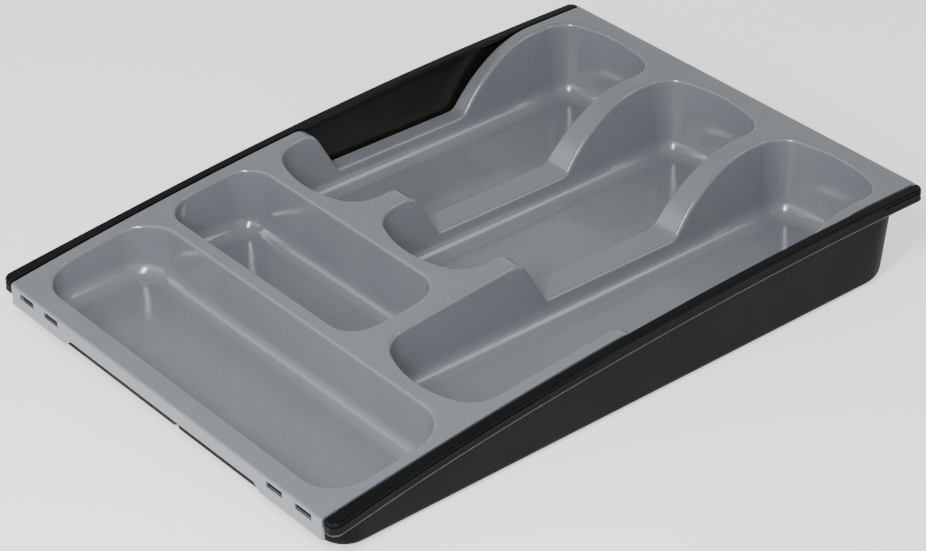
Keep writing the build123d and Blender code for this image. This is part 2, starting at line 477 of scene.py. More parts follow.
def inside(points: Array, loops: list[Array]) -> Array:
    """Tells which points lie inside an odd number of loops.

    A ray from each point towards +x crosses each loop's edges, and the count is
    odd inside.

    Args:
        points: Places in the plane.
        loops: Closed loops of points.

    Returns:
        True for each point inside.
    """
    odd = np.zeros(len(points), bool)
    for loop in loops:
        start, end = loop, np.roll(loop, -1, 0)
        spans = (start[:, 1] > points[:, 1:]) != (end[:, 1] > points[:, 1:])
        rise = np.where(end[:, 1] == start[:, 1], 1.0, end[:, 1] - start[:, 1])
        across = start[:, 0] + (points[:, 1:] - start[:, 1]) * (end[:, 0] - start[:, 0]) / rise
        odd ^= (np.sum(spans & (points[:, :1] < across), 1) % 2).astype(bool)
    return odd


def flat_sheet(loops: list[Array], rows: list[Array], extra: Array) -> tuple[Array, Array]:
    """Triangles that fill the area between an outer loop and its holes.

    Args:
        loops: The outer loop and the holes, as points in the plane.
        rows: Open lines of points that the triangles keep as edges.
        extra: Loose points inside the area.

    Returns:
        The points and the triangles' corner numbers.
    """
    places, edges, count = [], [], 0
    for path, closed in [(loop, True) for loop in loops] + [(row, False) for row in rows]:
        numbers = count + np.arange(len(path))
        following = np.roll(numbers, -1)
        last = None if closed else -1
        edges += np.stack([numbers, following], 1)[:last].tolist()
        places.append(path)
        count += len(path)
    places.append(extra)
    flat = [Vector(place) for place in np.concatenate(places).tolist()]
    result = delaunay_2d_cdt(flat, edges, [], 0, MERGE / 10)
    points, faces = np.array([tuple(v) for v in result[0]]), np.array(result[2])
    return points, faces[inside(points[faces].mean(1), loops)]


# The tray's side view


@dataclass(frozen=True)
class Deck:
    """The side view of the centre tray: an arch with a finger dip and two lips."""

    depth: float = 400.0
    front_height: float = 24.0
    rear_height: float = 49.3
    crown: float = 8.1
    thickness: float = 1.8
    lip_thickness: float = 1.6
    fold: float = 1.5
    inner_fold: float = 0.6
    front_drop: float = 13.2
    rear_drop: float = 12.4
    toe: Pair = (9.8, 16.3)
    heel: Pair = (101.3, 15.8)
    crest: float = 152.5
    slope: float = 63.0
    bulge: float = 5.5
    shoulder_radius: float = 12.6
    toe_radius: float = 2.5
    heel_radius: float = 8.0
    crest_radius: float = 60.0

    def arch(self) -> Stroke:
        """The circle through the front edge, the crown and the rear edge.

        Returns:
            The circle as a stroke, with the tray below it.
        """
        rise = self.rear_height - self.front_height
        half = math.hypot(self.depth, rise) / 2
        lean = math.hypot(rise, self.depth) / self.depth
        drop = (half**2 - self.crown**2) / (2 * self.crown / lean) / lean
        centre = (drop * rise / self.depth, (self.front_height + self.rear_height) / 2 - drop)
        return Stroke(centre, turn=math.dist(centre, (self.depth / 2, self.rear_height)))

    def arch_height(self, y: Array | float) -> Array:
        """Height of the arch without its dip, centre plus root(radius^2 - distance^2)."""
        arch = self.arch()
        return arch.at[1] + np.sqrt(arch.turn**2 - (np.asarray(y) - arch.at[0]) ** 2)

    def view(self, sunk: bool) -> Outline:
        """The side view from the front lip's lower edge over the deck to the rear one's.

        Args:
            sunk: True for the underside, one thickness inside the top.

        Returns:
            Points (y, z) and normals, with as many points for either side.
        """
        front, rear = -self.depth / 2, self.depth / 2
        tilt = math.radians(self.slope)
        top_of_crest = (self.crest, float(self.arch_height(self.crest)) + self.thickness / 2)
        strokes = [
            line((front, 0), (front, 1)),
            self.arch(),
            Stroke(self.toe, (math.cos(tilt), -math.sin(tilt))),
            line(self.toe, self.heel),
            bow(self.heel, top_of_crest, self.bulge),
            self.arch(),
            line((rear, 1), (rear, 0)),
        ]
        run = (float(self.arch_height(self.toe[0])) - self.toe[1]) / math.tan(tilt)
        shoulder = (self.toe[0] - run, float(self.arch_height(self.toe[0] - run)))
        corners = [
            ((front, self.front_height), self.fold),
            (shoulder, self.shoulder_radius),
            (self.toe, -self.toe_radius),
            (self.heel, -self.heel_radius),
            (top_of_crest, self.crest_radius),
            ((rear, self.rear_height), self.fold),
        ]
        if sunk:
            depths = [self.lip_thickness, *[self.thickness] * (len(strokes) - 2), self.lip_thickness]
            strokes = [stroke.sunk(depth) for stroke, depth in zip(strokes, depths)]
            corners = [
                (at, max(radius - self.thickness, self.inner_fold if radius > 0 else -math.inf))
                for at, radius in corners
            ]
        inset = self.lip_thickness if sunk else 0.0
        ends = (
            (front + inset, self.front_height - self.front_drop),
            (rear - inset, self.rear_height - self.rear_drop),
        )
        return chain(strokes, corners, ends, Steps())


class Chart:
    """The deck's top and underside as functions of x and of the length along the side view."""

    def __init__(self, deck: Deck) -> None:
        """Measures both side views.

        Args:
            deck: The sizes of the side view.
        """
        self.deck = deck
        self.sides = {sunk: deck.view(sunk) for sunk in (False, True)}
        steps = np.hypot(*np.diff(self.sides[False].points, axis=0).T)
        self.along = np.concatenate([[0.0], np.cumsum(steps)])

    def read(self, values: Array, length: Array) -> Array:
        """Values at lengths along the side view, from the ones at its points."""
        return np.column_stack([np.interp(length, self.along, column) for column in values.T])

    def place(self, flat: Array, sunk: bool) -> Array:
        """Points in space for (x, length along the side view)."""
        return np.column_stack([flat[:, 0], self.read(self.sides[sunk].points, flat[:, 1])])

    def facing(self, flat: Array) -> Array:
        """Outward unit normals of the top at (x, length along the side view)."""
        normals = unit(self.read(self.sides[False].normals, flat[:, 1]))
        return np.column_stack([np.zeros(len(flat)), normals])

    def flat(self, spots: Array, sunk: bool) -> Array:
        """Unrolls places on the deck, between its two folds.

        Args:
            spots: Points whose first two values are x and y.
            sunk: True for the underside.

        Returns:
            Rows of (x, length along the side view).
        """
        side = self.sides[sunk].points[:, 0]
        rising = np.concatenate([[False], np.diff(side) > TINY])
        length = np.interp(spots[:, 1], side[rising], self.along[rising])
        return np.column_stack([spots[:, 0], length])

    def height(self, y: Array, sunk: bool) -> Array:
        """Height of the deck at places between its two folds."""
        spots = np.column_stack([np.zeros_like(y), y])
        return self.place(self.flat(spots, sunk), sunk)[:, 2]

    def stations(self) -> Array:
        """The values of Y where the side view has its points."""
        return np.unique(np.round(self.sides[False].points[:, 0], 4))


# Wells


@dataclass(frozen=True)
class Well:
    """One well: its outline on the deck, its leaning walls and its rounded floor.

    The bows tell how far the sides, the front and the rear stand out in their
    middles. The corners' radii are given for the front and the rear, and the
    steps for the wall and for the arc into the floor.
    """

    left: float
    right: float
    front: float
    rear: float
    bows: Triple
    corners: Pair
    draft: float = 5.5
    wall: float = 2.0
    floor: float = 4.15
    floor_radius: float = 11.0
    rim_radius: float = 2.2
    rim_steps: int = 5
    steps: tuple[int, int] = (5, 10)

    def outline(self, chart: Chart) -> Outline:
        """Plan of the well, clockwise.

        Args:
            chart: The deck.

        Returns:
            The points and the outward normals.
        """
        side, front, rear = self.bows
        x0, x1 = self.left + side, self.right - side
        y0, y1 = self.front + front, self.rear - rear
        spots = [(x0, y0), (x0, y1), (x1, y1), (x1, y0)]
        following = spots[1:] + spots[:1]
        strokes = [bow(*each) for each in zip(spots, following, (side, rear, side, front))]
        radii = [self.corners[1]] * 2 + [self.corners[0]] * 2
        places = Spacing(angle=6.0, step=5.0, stations=chart.stations())
        return chain(strokes, list(zip(following, radii)), None, places)

    def rim(self, chart: Chart, sunk: bool) -> tuple[Array, Outline]:
        """Where the walls meet the deck.

        A wall stands off the outline by its height over the deck's middle times
        the tangent of its lean, and the meeting is found by repeating that.

        Args:
            chart: The deck.
            sunk: True for the underside and the outside of the walls.

        Returns:
            The points in space, and the outline.
        """
        plan = self.outline(chart)
        grow = self.wall if sunk else 0.0
        reach = np.full(len(plan.points), grow)
        for _ in range(PASSES):
            height = chart.height(plan.points[:, 1] + reach * plan.normals[:, 1], sunk)
            reach = grow + (height - self.reference(chart)) * math.tan(math.radians(self.draft))
        spots = plan.points + reach[:, None] * plan.normals
        return lift(spots, chart.height(spots[:, 1], sunk)), plan

    def reference(self, chart: Chart) -> float:
        """Height at which the outline is drawn: the arch over the well's middle."""
        return float(chart.deck.arch_height((self.front + self.rear) / 2))

    def rounding(self, rim: Array, plan: Outline, chart: Chart) -> Array:
        """Rows of points that round the rim, from the wall to the deck.

        Both surfaces are left square to the rim. The arc's centre lies between
        the two directions, radius / sin(half angle) from the rim, and its points
        turn evenly from one tangent point to the other.

        Args:
            rim: Where the wall meets the deck.
            plan: The well's outline.
            chart: The deck.

        Returns:
            The rows.
        """
        lean = math.radians(self.draft)
        outward = lift(plan.normals, 0.0)
        wall = -outward * math.cos(lean) + [0, 0, math.sin(lean)]
        deck = chart.facing(chart.flat(rim, False))
        along = unit(np.cross(wall, deck))
        down = np.cross(along, wall)
        down *= -np.sign(down[:, 2:])
        off = np.cross(along, deck)
        off *= np.sign(np.sum(off * outward, 1, keepdims=True))
        half = np.arccos(np.clip(np.sum(down * off, 1, keepdims=True), -1, 1)) / 2
        centre = rim + unit(down + off) * self.rim_radius / np.sin(half)
        tangent = self.rim_radius / np.tan(half)
        first = rim + tangent * down - centre
        last = rim + tangent * off - centre
        turn = math.pi - 2 * half
        shares = np.linspace(0, 1, self.rim_steps + 1)[:, None, None]
        arms = (np.sin((1 - shares) * turn) * first + np.sin(shares * turn) * last) / np.sin(turn)
        rows = centre + arms
        rows[-1] = chart.place(chart.flat(rows[-1], False), False)
        return rows

    def sides(self, top: Array, plan: Outline, chart: Chart, grow: float) -> Array:
        """Rows of points down the leaning wall and round into the flat floor.

        The thickness of the wall is measured level, so that the arc underneath is
        drawn from a corner of its own.

        Args:
            top: The wall's upper edge.
            plan: The well's outline.
            chart: The deck.
            grow: Thickness for the outside, 0 for the inside.

        Returns:
            The rows.
        """
        lean = math.radians(self.draft)
        base = self.floor - grow
        corner = grow + (base - self.reference(chart)) * math.tan(lean)
        return down_wall(top, plan, corner, base, self.floor_radius + grow, lean, self.steps)


# The centre tray


@dataclass(frozen=True)
class CentreTray:
    """The grey moulding: arched deck with lips, five wells, windows and tabs.

    The wells' fronts and rears are measured from the tray's front edge.
    """

    deck: Deck = Deck()
    width: float = 270.6
    edge: float = 0.4
    edge_steps: int = 3
    long_width: float = 76.4
    long_fronts: Triple = (160.2, 160.2, 93.3)
    long_rear: float = 387.5
    long_bows: Triple = (0.0, 11.2, 8.5)
    long_corners: Pair = (19.0, 17.0)
    divider: float = 13.2
    cross_strip: float = 6.5
    cross_wells: tuple[Triple, Triple] = ((11.6, 84.6, 22.0), (93.3, 152.5, 17.0))
    cross_bow: float = 1.8
    second_divider: float = 12.6
    middle_lift: float = 4.0
    end_length: float = 50.3
    step_run: float = 4.5
    tab_insets: Pair = (37.8, 14.8)
    tab_width: float = 14.2
    tab_drop: float = 6.5
    tab_thickness: float = 2.2
    tab_reach: float = 3.8
    clear: float = 0.5
    sheet_step: float = 9.0
    sheet_margin: float = 20.0
    dip_margins: Pair = (40.0, 15.0)
    fold_lean: float = 0.25

    def wells(self) -> list[Well]:
        """The five wells: two across the front, three long ones behind.

        Returns:
            The wells.
        """
        front, side = -self.deck.depth / 2, self.width / 2 - self.cross_strip
        pitch, half = self.long_width + self.divider, self.long_width / 2
        rights = (side, pitch - half - self.second_divider)
        wells = []
        for right, (start, end, corner) in zip(rights, self.cross_wells):
            bows = (self.cross_bow, 0.0, 0.0)
            wells.append(Well(-side, right, front + start, front + end, bows, (corner, corner)))
        for middle, start in zip((-pitch, 0.0, pitch), self.long_fronts):
            ends = (middle - half, middle + half, front + start, front + self.long_rear)
            wells.append(Well(*ends, self.long_bows, self.long_corners))
        return wells

    def border(self, chart: Chart) -> Array:
        """The outer loop of the sheet, drawn in by the rounding of its edge.

        Args:
            chart: The deck.

        Returns:
            Rows of (x, length).
        """
        side = self.width / 2 - self.edge
        foot = self.width / 2 - self.end_length
        head = foot - self.step_run
        total = chart.along[-1]
        low, high = self.edge, self.edge + self.middle_lift
        nearest = low + self.clear
        rows = chart.along[(chart.along > nearest) & (chart.along < total - nearest)]
        front = [(side, low), (foot, low), (head, high), (-head, high), (-foot, low), (-side, low)]
        rear = [(x, total - y) for x, y in reversed(front)]
        left = np.column_stack([np.full(len(rows), -side), rows])
        return np.concatenate([front, left, rear, left[::-1] * [-1, 1]])

    def tab_places(self) -> list[float]:
        """X of the middles of the four tabs in a lip."""
        return [sign * (self.width / 2 - inset) for inset in self.tab_insets for sign in (-1, 1)]

    def windows(self, chart: Chart) -> list[Array]:
        """The slots over the retaining tabs.

        Args:
            chart: The deck.

        Returns:
            A loop in (x, length) for each.
        """
        half, total = self.tab_width / 2 - self.edge, chart.along[-1]
        loops = []
        for drop, rear in ((self.deck.front_drop, False), (self.deck.rear_drop, True)):
            low, high = drop - self.tab_drop + self.edge, drop - self.deck.thickness - self.edge
            if rear:
                low, high = total - high, total - low
            spots = np.array([(-half, low), (-half, high), (half, high), (half, low)])
            loops += [spots + [middle, 0.0] for middle in self.tab_places()]
        return loops

    def hem(self, loop: Array, chart: Chart, away: int) -> Array:
        """Rows that close the gap between top and underside along a loop, with round edges.

        Each row is the loop moved out by edge sin(angle) and down by
        edge (1 - cos(angle)), first on the top and then, in reverse, underneath.
        Out is the middle between the normals of a point's two edges.

        Args:
            loop: Places in (x, length).
            chart: The deck.
            away: 1 where the loop runs clockwise round the sheet, -1 round a hole.

        Returns:
            The rows of points.
        """
        ahead = unit(np.roll(loop, -1, 0) - loop)
        left = np.column_stack([-ahead[:, 1], ahead[:, 0]])
        out = away * unit(left + np.roll(left, 1, 0))
        normal = chart.facing(loop)
        along = np.column_stack([np.zeros(len(loop)), normal[:, 2], -normal[:, 1]])
        outward = out[:, :1] * [1.0, 0, 0] + out[:, 1:] * along
        angles = quarter(self.edge_steps)[:, None, None]
        side = self.edge * np.sin(angles) * outward
        sink = self.edge * (1 - np.cos(angles)) * normal
        under = chart.place(loop, True) + side + sink
        return np.concatenate([chart.place(loop, False) + side - sink, under[::-1]])

    def fold_rows(self, chart: Chart) -> list[Array]:
        """Lines right across the sheet at every point of the two folds.

        Args:
            chart: The deck.

        Returns:
            The two ends of each line, in (x, length).
        """
        top = chart.sides[False]
        turning = (np.abs(top.normals[:, 0]) > self.fold_lean) & (top.normals[:, 1] > TINY)
        near = np.abs(top.points[:, 0]) > self.deck.depth / 2 - self.deck.fold - self.clear
        side = self.width / 2 - self.edge
        return [np.array([(-side, s), (side, s)]) for s in chart.along[turning & near]]

    def sheet(self, skin: Skin, chart: Chart, holes: list[Array], sunk: bool) -> None:
        """Fills the deck between its border, the windows and the wells.

        Loose points keep the triangles small. The dip has none, because only narrow
        strips are left of the sheet there.

        Args:
            skin: The skin that grows.
            chart: The deck.
            holes: The wells' edges.
            sunk: True for the underside.
        """
        loops = [self.border(chart), *self.windows(chart)]
        loops += [chart.flat(hole, sunk) for hole in holes]
        side, step, margin = self.width / 2, self.sheet_step, self.sheet_margin
        x = np.arange(-side + step, side - step / 2, step)
        y = np.arange(margin, chart.along[-1] - margin, step)
        spread = np.stack(np.meshgrid(x, y), -1).reshape(-1, 2)
        gap = np.min(np.linalg.norm(spread[:, None] - np.concatenate(loops), axis=2), 1)
        place = chart.place(spread, False)[:, 1]
        before, behind = self.dip_margins
        in_dip = (place > self.deck.toe[0] - before) & (place < self.deck.crest + behind)
        keep = inside(spread, loops) & (gap > step / 3) & ~in_dip
        points, faces = flat_sheet(loops, self.fold_rows(chart), spread[keep])
        skin.patch(chart.place(points, sunk), faces)

    def tabs(self, skin: Skin) -> None:
        """The retaining tabs inside both lips, under the windows.

        Args:
            skin: The skin that grows.
        """
        deck, bevel, half = self.deck, self.tab_thickness / 4, self.tab_width / 2
        for sign, edge_height in ((-1, deck.front_height), (1, deck.rear_height)):
            top = edge_height - self.tab_drop
            low = top - self.tab_thickness
            root = sign * (deck.depth - deck.lip_thickness) / 2
            back = sign * (deck.depth / 2 - deck.lip_thickness - self.tab_reach)
            nose = back + sign * bevel
            section = [(root, top), (nose, top), (back, top - bevel)]
            section += [(back, low + bevel), (nose, low), (root, low)]
            for middle in self.tab_places():
                skin.prism(section, middle - half, middle + half)

    def build(self) -> bpy.types.Object:
        """Makes the moulding.

        Returns:
            The object, with one closed skin for deck and wells and one for each tab.
        """
        chart, skin = Chart(self.deck), Skin()
        holes: dict[bool, list[Array]] = {False: [], True: []}
        for well in self.wells():
            rim, plan = well.rim(chart, False)
            rounded = well.rounding(rim, plan, chart)
            rows = well.sides(rounded[0], plan, chart, 0.0)
            skin.grid(np.concatenate([rounded[::-1], rows[1:]]), True)
            skin.lid(rows[-1])
            holes[False].append(rounded[-1])
            under, plan = well.rim(chart, True)
            rows = well.sides(under, plan, chart, well.wall)
            skin.grid(rows, True)
            skin.lid(rows[-1])
            holes[True].append(under)
        for sunk in (False, True):
            self.sheet(skin, chart, holes[sunk], sunk)
        skin.grid(self.hem(self.border(chart), chart, 1), True)
        for window in self.windows(chart):
            skin.grid(self.hem(window, chart, -1), True)
        self.tabs(skin)
        return skin.piece("tray_moulding")


# The wings


@dataclass(frozen=True)
class Wing:
    """A black wing: half of a shallow tub, a rail level with the deck, and flanges."""

    inner_end: float
    deck: Deck = Deck()
    half_width: float = 135.3
    edge_gap: float = 1.4
    gap: float = 0.35
    side_foot: float = 138.3
    front_foot: float = -192.6
    rear_foot: float = 187.1
    foot_corners: Pair = (15.0, 24.0)
    draft: float = 5.6
    bottom_radius: float = 5.0
    wall: float = 1.8
    wall_steps: tuple[int, int] = (4, 7)
    rail_width: float = 6.0
    flare: float = 2.4
    flare_length: float = 120.0
    rail_corner: float = 5.0
    rail_edge: float = 1.3
    rail_thickness: float = 2.2
    skirt: float = 7.2
    skirt_wall: float = 2.0
    skirt_edge: float = 0.6
    bead: float = 0.3
    groove: Pair = (1.2, 0.6)
    flange: float = 1.8
    flange_gap: float = 0.4
    join_drop: float = 2.0
    tab_drop: float = 6.5
    lug_length: float = 3.0
    lug_drop: float = 1.8
    lug_start: float = 4.9
    tub_setback: float = 1.4
    rail_clear: float = 0.15
    step: float = 7.0

    def rail_outer(self) -> float:
        """X of the rail's outer face behind its flare."""
        return self.half_width + self.edge_gap + self.rail_width

    def tub_end(self) -> float:
        """X of the tub's open side, a little behind the flanges' inner ends."""
        return self.inner_end + self.tub_setback

    def spacing(self, angle: float) -> Spacing:
        """How finely the plans are divided, with an angle for each step of an arc."""
        half = self.deck.depth / 2
        return OpenEnds(angle, self.step, np.arange(-half, half, self.step))

    def foot(self) -> Outline:
        """Plan of the tub's walls at the table: rear, side and front.

        Returns:
            The points and the outward normals.
        """
        end, side, front, rear = self.tub_end(), self.side_foot, self.front_foot, self.rear_foot
        spots = [(end, rear), (side, rear), (side, front), (end, front)]
        strokes = [line(*ends) for ends in zip(spots, spots[1:])]
        corners = [(spots[1], self.foot_corners[1]), (spots[2], self.foot_corners[0])]
        return chain(strokes, corners, (spots[0], spots[3]), self.spacing(8.0))

    def rail_plan(self) -> Outline:
        """Plan of the rail's outside: flared towards the front, with round corners.

        The flare's circle touches the straight outer face where the flare ends, so
        that its radius is (length squared + flare squared) / (2 flare).

        Returns:
            The points and the outward normals.
        """
        outer, rear, front = self.rail_outer(), self.deck.depth / 2, -self.deck.depth / 2
        flare_end = front + self.flare_length
        radius = (self.flare_length**2 + self.flare**2) / (2 * self.flare)
        inner = self.half_width + self.edge_gap
        strokes = [
            line((inner, rear), (outer, rear)),
            line((outer, rear), (outer, flare_end)),
            Stroke((outer + radius, flare_end), turn=-radius),
            line((outer, front), (inner, front)),
        ]
        corners = [
            ((outer, rear), self.rail_corner),
            ((outer, flare_end), 0.0),
            ((outer + self.flare, front), self.rail_corner),
        ]
        return chain(strokes, corners, ((inner, rear), (inner, front)), self.spacing(9.0))

    def shell(self, skin: Skin, outer: Array, inner: Array, end: float, coat: int | Array) -> None:
        """Adds a wall that bends round in plan, with a plate across one of its edges.

        The plate's points are the last row's, carried straight across to x = end.

        Args:
            skin: The skin that grows.
            outer: Rows of the outside, from the free edge to the plate.
            inner: The same rows of the inside.
            end: X of the open side, where plate and wall are cut off.
            coat: The outside's finish, or one for each strip. The rest is polished.
        """
        edges = []
        for rows, number in ((outer, coat), (inner, POLISHED)):
            edge = rows[-1] * [0, 1, 1] + [end, 0, 0]
            skin.grid(np.concatenate([rows, edge[None]]), False, number)
            edges.append(edge)
        skin.grid(np.array(edges), False, POLISHED)
        skin.grid(np.array([outer[0], inner[0]]), False, POLISHED)
        for column in (0, -1):
            skin.grid(np.array([outer[:, column], inner[:, column]]), False, POLISHED)

    def tub(self, skin: Skin) -> None:
        """The walls and floor.

        A wall's reach is its height times the tangent of its lean. Its upper edge
        stays inside the rail's outer face.

        Args:
            skin: The skin that grows.
        """
        lean = math.radians(self.draft)
        plan = self.foot()
        high = self.wall_top(plan)
        sheets = []
        for base, grow in ((0.0, 0.0), (self.wall, -self.wall / math.cos(lean))):
            reach = grow + high * math.tan(lean)
            top = lift(plan.points + reach[:, None] * plan.normals, high)
            top[:, 0] = np.minimum(top[:, 0], self.rail_outer() - self.rail_clear + grow)
            corner = grow + base * math.tan(lean)
            radius = self.bottom_radius - base
            sheets.append(down_wall(top, plan, corner, base, radius, lean, self.wall_steps))
        self.shell(skin, sheets[0], sheets[1], self.tub_end(), TEXTURED)

    def wall_top(self, plan: Outline) -> Array:
        """Height of the walls: just under the deck, or inside the rail's plate.

        Args:
            plan: Plan of the walls at the table.

        Returns:
            The height at each of its points.
        """
        lean, limit = math.tan(math.radians(self.draft)), self.deck.depth / 2
        reach = np.zeros(len(plan.points))
        for _ in range(PASSES):
            spots = plan.points + reach[:, None] * plan.normals
            height = self.deck.arch_height(np.clip(spots[:, 1], -limit, limit))
            beside = spots[:, 0] > self.half_width
            height -= np.where(beside, self.rail_thickness / 2, self.deck.thickness + self.gap)
            reach = height * lean
        return height

    def rail(self, skin: Skin) -> None:
        """The rail, which follows the arch: its skirt with bead and groove, and its top.

        Each row is (reach, rise): how far outside the plan it lies, and how far
        over the arch.

        Args:
            skin: The skin that grows.
        """
        plan = self.rail_plan()
        edge, hem, bead = self.rail_edge, self.skirt_edge, self.bead
        tall, deep = self.groove
        crown = -self.skirt + hem
        foot = [(-hem * (1 - math.sin(a)), crown - hem * math.cos(a)) for a in quarter(3)]
        foot += [(-bead * (1 - math.cos(a)), crown + bead * math.sin(a)) for a in quarter(3)[1:]]
        groove = [(-bead, -edge - tall), (-bead - deep, -edge - tall), (-bead - deep, -edge)]
        top = [(-bead - edge * (1 - math.cos(a)), -edge * (1 - math.sin(a))) for a in quarter(4)]
        within = [(-self.skirt_wall, -self.skirt)] * len(foot)
        within += [(-self.skirt_wall, -self.rail_thickness)] * len(groove + top)
        sheets = []
        for rows in (foot + groove + top, within):
            reach, rise = np.array(rows).T
            spots = plan.points + reach[:, None, None] * plan.normals
            height = self.deck.arch_height(spots[..., 1]) + rise[:, None]
            sheets.append(lift(spots, height))
        # The bead's rows take the paler black: a painted highlight along the skirt's foot.
        coats = np.repeat([BEAD_HIGHLIGHT, TEXTURED, SATIN], [len(foot) - 1, len(groove) + 1, len(top)])
        self.shell(skin, sheets[0], sheets[1], self.half_width + self.edge_gap, coats)

    def flanges(self, skin: Skin) -> None:
        """At each lip a plate under the deck, its leg that slides over the tabs, and a stop lug.

        The plate reaches the middle of the tub's wall, taken a little below its top.

        Args:
            skin: The skin that grows.
        """
        deck = self.deck
        lips = ((-1, deck.front_height, self.front_foot), (1, deck.rear_height, self.rear_foot))
        for sign, edge_height, foot in lips:
            outer = sign * (deck.depth / 2 - deck.lip_thickness - self.flange_gap)
            edge = outer - sign * self.flange
            top = float(deck.arch_height(outer)) - deck.thickness - self.gap
            low = top - self.flange
            tab_top = edge_height - self.tab_drop
            rest = tab_top + self.gap
            reach = (top - self.join_drop) * math.tan(math.radians(self.draft)) - self.wall / 2
            wall = foot + sign * reach
            plate = [(outer, top), (wall, top), (wall, low), (edge, low), (edge, rest), (outer, rest)]
            skin.prism(plate, self.inner_end, self.rail_outer() - self.skirt_wall, TEXTURED)
            lug_foot = tab_top - self.lug_drop
            lug = [(outer, top), (edge, top), (edge, lug_foot), (outer, lug_foot)]
            skin.prism(lug, self.lug_start, self.lug_start + self.lug_length, TEXTURED)
            self.corner_web(skin, sign, wall, top)

    def corner_web(self, skin: Skin, sign: int, wall: float, top: float) -> None:
        """Fills the corner between a flange's plate and the tub's round wall.

        Its plan is a square corner with a round notch, whose points are the
        centre of the tub's corner plus the reach times (sine, cosine).

        Args:
            skin: The skin that grows.
            sign: -1 at the front and 1 at the rear.
            wall: Y of the middle of the tub's straight wall.
            top: Height of the plate's upper face.
        """
        rear = sign > 0
        radius = self.foot_corners[rear]
        foot = (self.front_foot, self.rear_foot)[rear]
        centre = np.array([self.side_foot - radius, foot - sign * radius])
        reach, angles = abs(wall - centre[1]), quarter(9)
        notch = centre + reach * np.column_stack([np.sin(angles), sign * np.cos(angles)])
        plan = np.concatenate([notch, [[centre[0] + reach, wall]]])
        heights = (top - self.flange, top)
        skin.bar([lift(plan, height) for height in heights], TEXTURED)

    def build(self, name: str, flip: bool) -> bpy.types.Object:
        """Makes the wing.

        Args:
            name: The object's name.
            flip: True for the left wing, which is the right one's form turned over.

        Returns:
            The object.
        """
        skin = Skin()
        self.tub(skin)
        self.rail(skin)
        self.flanges(skin)
        return skin.piece(name, flip)


# Finishes


def linear(colour: str) -> tuple[float, float, float, float]:
    """Turns an sRGB hex colour into the linear values that shaders take.

    Args:
        colour: The colour, such as "#ffffff".

    Returns:
        Red, green, blue and an alpha of 1.
    """
    channels = np.array([int(colour[i : i + 2], 16) for i in (1, 3, 5)]) / 255
    values = np.where(channels <= 0.04045, channels / 12.92, ((channels + 0.055) / 1.055) ** 2.4)
    return (float(values[0]), float(values[1]), float(values[2]), 1.0)


def new_material(name: str) -> bpy.types.Material:
    """Makes a material that has no node yet.

    Args:
        name: The material's name.

    Returns:
        The material.
    """
    material = bpy.data.materials.new(name)
    material.use_nodes = True
    material.node_tree.nodes.clear()
    return material


def add_node(tree: bpy.types.NodeTree, kind: str, values: Settings, links: Settings) -> bpy.types.Node:
    """Adds one node to a material.

    Args:
        tree: The material's nodes.
        kind: The node's type.
        values: Settings by name, and values of inputs by name or number.
        links: The output that feeds each input, by name or number.

    Returns:
        The node.
    """
    node = tree.nodes.new(kind)
    for name, value in values.items():
        if isinstance(name, int) or name in node.inputs:
            node.inputs[name].default_value = value
        else:
            setattr(node, name, value)
    for name, source in links.items():
        tree.links.new(source, node.inputs[name])
    return node


def ramp(node: bpy.types.Node, first: tuple[float, str], last: tuple[float, str]) -> bpy.types.NodeSocket:
    """Sets both stops of a colour ramp.

    Args:
        node: The ramp.
        first: Place and sRGB hex colour of one stop.
        last: The same for the other stop.

    Returns:
        The ramp's output.
    """
    for element, (place, colour) in zip(node.color_ramp.elements, (first, last)):
        element.position = place
        element.color = linear(colour)
    return node.outputs["Color"]


@dataclass(frozen=True)
class MouldedPlastic:
    """An injection-moulded plastic: a drift of tone, a fine grain and a soft gloss.

    The sizes of grain, bump and drift are millimetres.
    """

    name: str
    dark: str
    light: str
    grain_dark: str
    grain_light: str
    grain: float
    bump: float
    roughness: float
    grain_share: float = 0.5
    gloss_drift: float = 0.04
    ior: float = 1.5
    shine: float = 0.5
    drift: float = 45.0

    def material(self) -> bpy.types.Material:
        """Builds the material from noise on Object coordinates, which are metres.

        Returns:
            The material.
        """
        material = new_material(self.name)
        tree = material.node_tree
        place = add_node(tree, "ShaderNodeTexCoord", {}, {}).outputs["Object"]
        noises = []
        for size, detail, roughness in ((self.drift, 2.0, 0.5), (self.grain, 3.0, 0.65)):
            values = {"Scale": 1 / (size * METRES), "Detail": detail, "Roughness": roughness}
            noise = add_node(tree, "ShaderNodeTexNoise", values, {"Vector": place})
            noises.append(noise.outputs["Fac"])
        broad, fine = noises
        tone = add_node(tree, "ShaderNodeValToRGB", {}, {"Fac": broad})
        tone = ramp(tone, (0.35, self.dark), (0.65, self.light))
        speckle = add_node(tree, "ShaderNodeValToRGB", {}, {"Fac": fine})
        speckle = ramp(speckle, (0.42, self.grain_dark), (0.62, self.grain_light))
        # A mix node's colours are its inputs 6 and 7 and its output 2.
        values = {"data_type": "RGBA", "Factor": self.grain_share}
        colour = add_node(tree, "ShaderNodeMix", values, {6: tone, 7: speckle})
        low, high = self.roughness - self.gloss_drift, self.roughness + self.gloss_drift
        values = {"From Min": 0.3, "From Max": 0.7, "To Min": low, "To Max": high}
        gloss = add_node(tree, "ShaderNodeMapRange", values, {"Value": broad})
        values = {"Strength": 1.0, "Distance": self.bump * METRES}
        bumps = add_node(tree, "ShaderNodeBump", values, {"Height": fine})
        shader = add_node(
            tree,
            "ShaderNodeBsdfPrincipled",
            {"IOR": self.ior, "Metallic": 0.0, "Specular IOR Level": self.shine},
            {
                "Base Color": colour.outputs[2],
                "Roughness": gloss.outputs["Result"],
                "Normal": bumps.outputs["Normal"],
            },
        )
        add_node(tree, "ShaderNodeOutputMaterial", {}, {"Surface": shader.outputs["BSDF"]})
        return material


